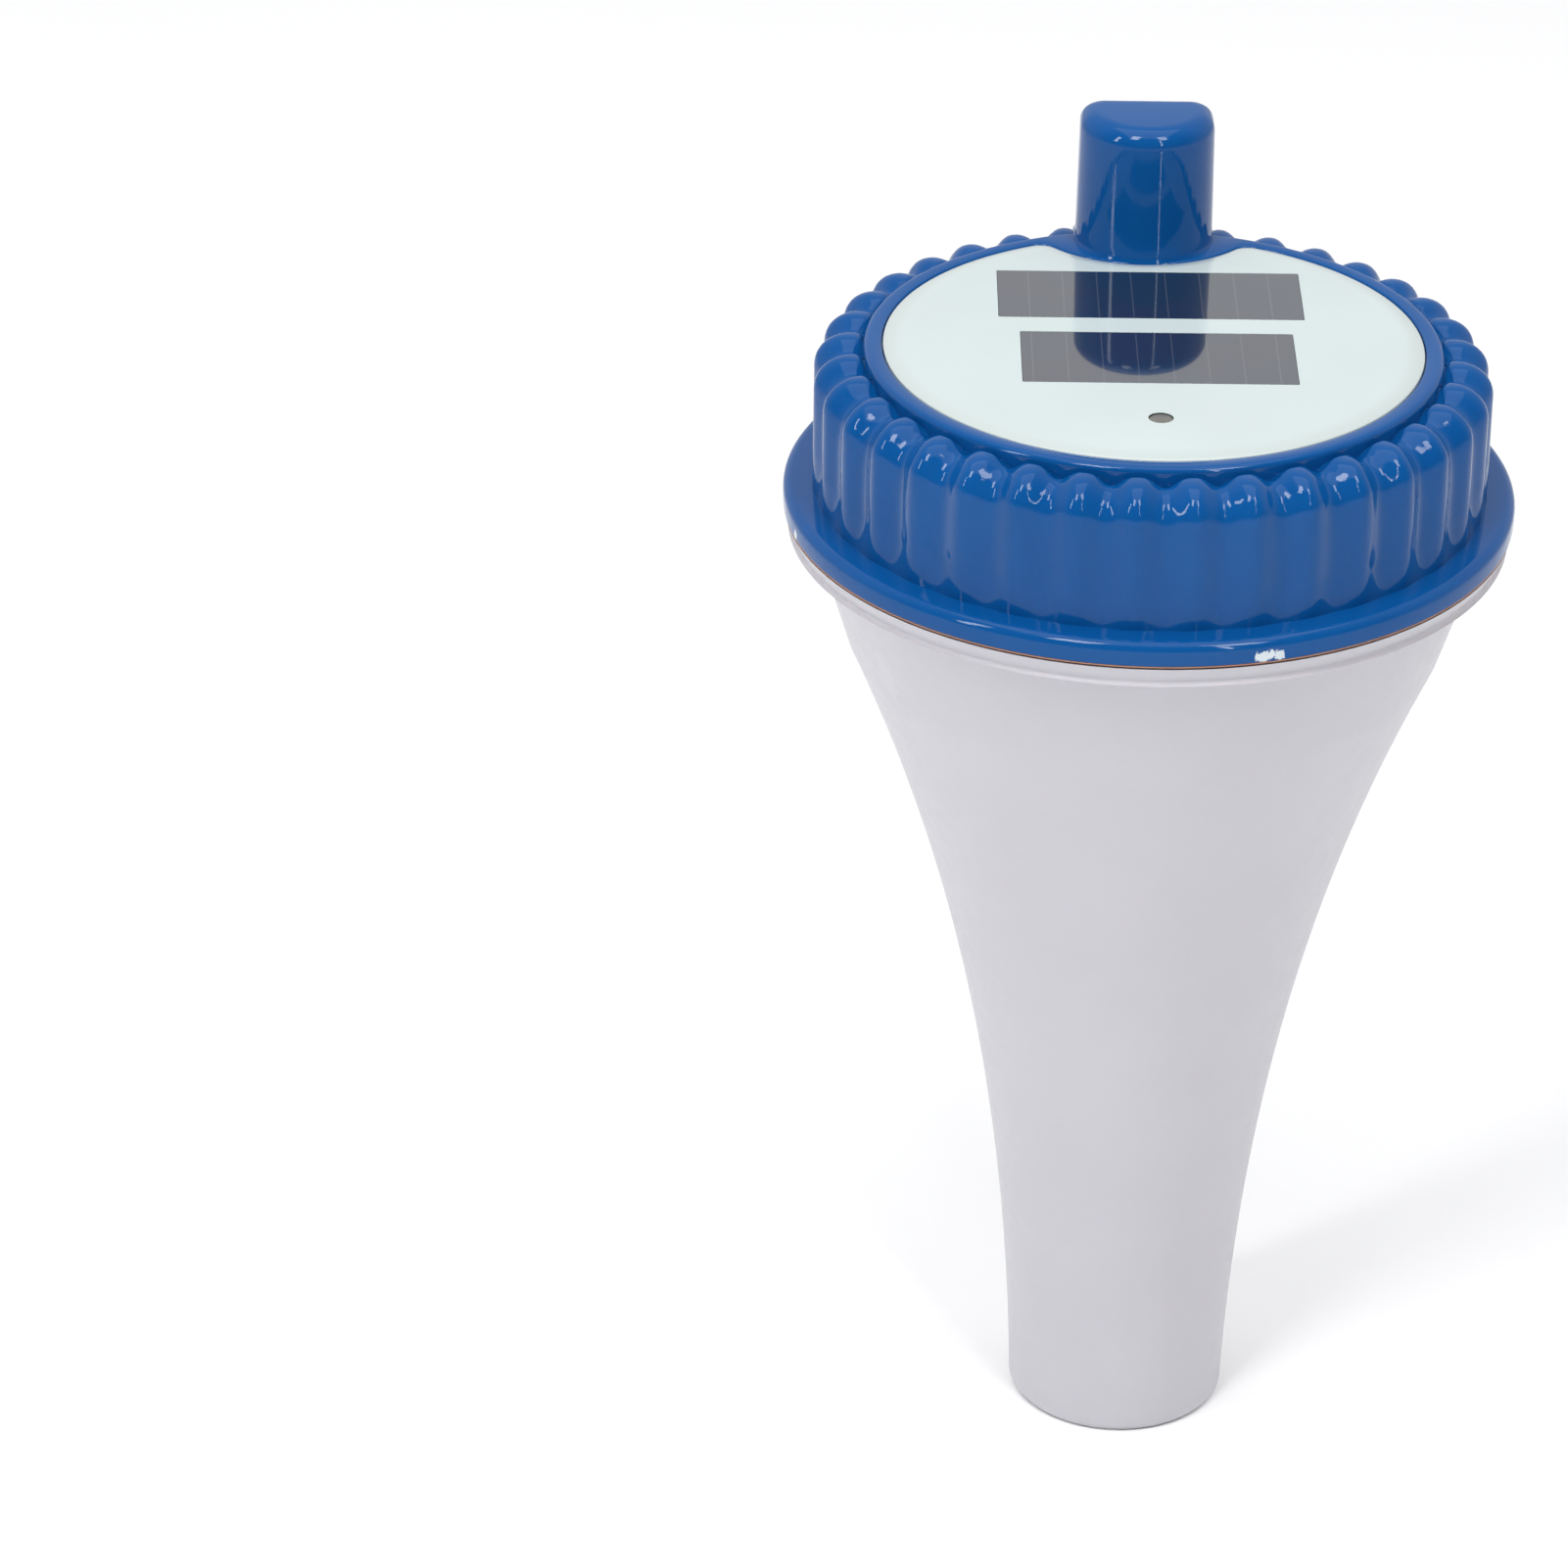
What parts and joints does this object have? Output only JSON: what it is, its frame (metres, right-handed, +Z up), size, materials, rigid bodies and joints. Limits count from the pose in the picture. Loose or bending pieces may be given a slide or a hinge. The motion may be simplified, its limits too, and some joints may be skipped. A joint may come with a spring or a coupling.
{
  "type": "floating pool thermometer",
  "caption": "Floating pool thermometer: weighted trumpet-shaped float, ribbed screw cap with solar cells under a window, radio tab and a hanging probe.",
  "frame": {"origin": "middle of the foot, on the surface it stands on", "axes": "+Z up the float to the antenna tab, tab at +Y, indicator window at -Y"},
  "size_m": [0.11, 0.11, 0.2042],
  "materials": {
    "hull_white": "satin",
    "cap_blue": "gloss",
    "lens_clear": "gloss",
    "seal_rubber": "matte",
    "foam_tape": "matte",
    "carrier_black": "matte",
    "solar_silicon": "gloss",
    "wire_sheath": "satin",
    "light_pipe": "gloss",
    "led_resin": "gloss",
    "board_green": "satin",
    "shield_steel": "satin",
    "chip_black": "matte",
    "capacitor_can": "satin",
    "chassis_grey": "matte",
    "screw_steel": "satin",
    "battery_jacket": "gloss",
    "contact_nickel": "gloss",
    "stem_plastic": "satin",
    "probe_steel": "satin",
    "bead_epoxy": "gloss",
    "ballast_iron": "matte",
    "switch_black": "satin",
    "button_red": "satin"
  },
  "bodies": {
    "float": {"float_hull": "hull_white", "ballast_weight": "ballast_iron", "ballast_retainer": "stem_plastic"},
    "seal": {"cap_gasket": "seal_rubber"},
    "cap": {"screw_cap": "cap_blue", "window_lens": "lens_clear", "lens_gasket": "foam_tape", "cell_carrier": "carrier_black", "solar_cell_rear": "solar_silicon", "solar_cell_front": "solar_silicon", "solar_leads": "wire_sheath", "light_pipe": "light_pipe", "indicator_led": "led_resin", "main_board": "board_green", "radio_shield": "shield_steel", "controller_chip": "chip_black", "crystal_can": "shield_steel", "board_capacitors": "capacitor_can", "antenna_board": "board_green", "battery_chassis": "chassis_grey", "chassis_screws": "screw_steel", "battery_rear": "battery_jacket", "battery_front": "battery_jacket", "contact_springs": "contact_nickel", "contact_plates": "contact_nickel", "battery_leads": "wire_sheath", "probe_stem": "stem_plastic", "stem_nut": "screw_steel", "probe_tip": "probe_steel", "thermistor": "bead_epoxy", "thermistor_leads": "wire_sheath", "channel_switch_body": "switch_black", "sync_switch_body": "switch_black"},
    "channel_key": {"channel_slider": "button_red"},
    "sync_key": {"sync_button": "button_red"}
  },
  "joints": [
    {"name": "cap_lift", "type": "slide", "parent": "float", "child": "seal", "axis": [0, 0, 1], "range_m": [0, 0.006]},
    {"name": "cap_turn", "type": "hinge", "parent": "seal", "child": "cap", "pos_m": [0, 0, 0.16], "axis": [0, 0, 1], "range_deg": [0, 540]},
    {"name": "channel_slide", "type": "slide", "parent": "cap", "child": "channel_key", "axis": [1, 0, 0], "range_m": [-0.002, 0.002]},
    {"name": "sync_press", "type": "slide", "parent": "cap", "child": "sync_key", "axis": [0, 0, 1], "range_m": [0, 0.0005], "stiffness_N_per_m": 400, "springref_m": -0.0005}
  ],
  "couplings": [
    {"joint": "cap_lift", "follows": "cap_turn", "m_per_rad": 0.00063662}
  ]
}
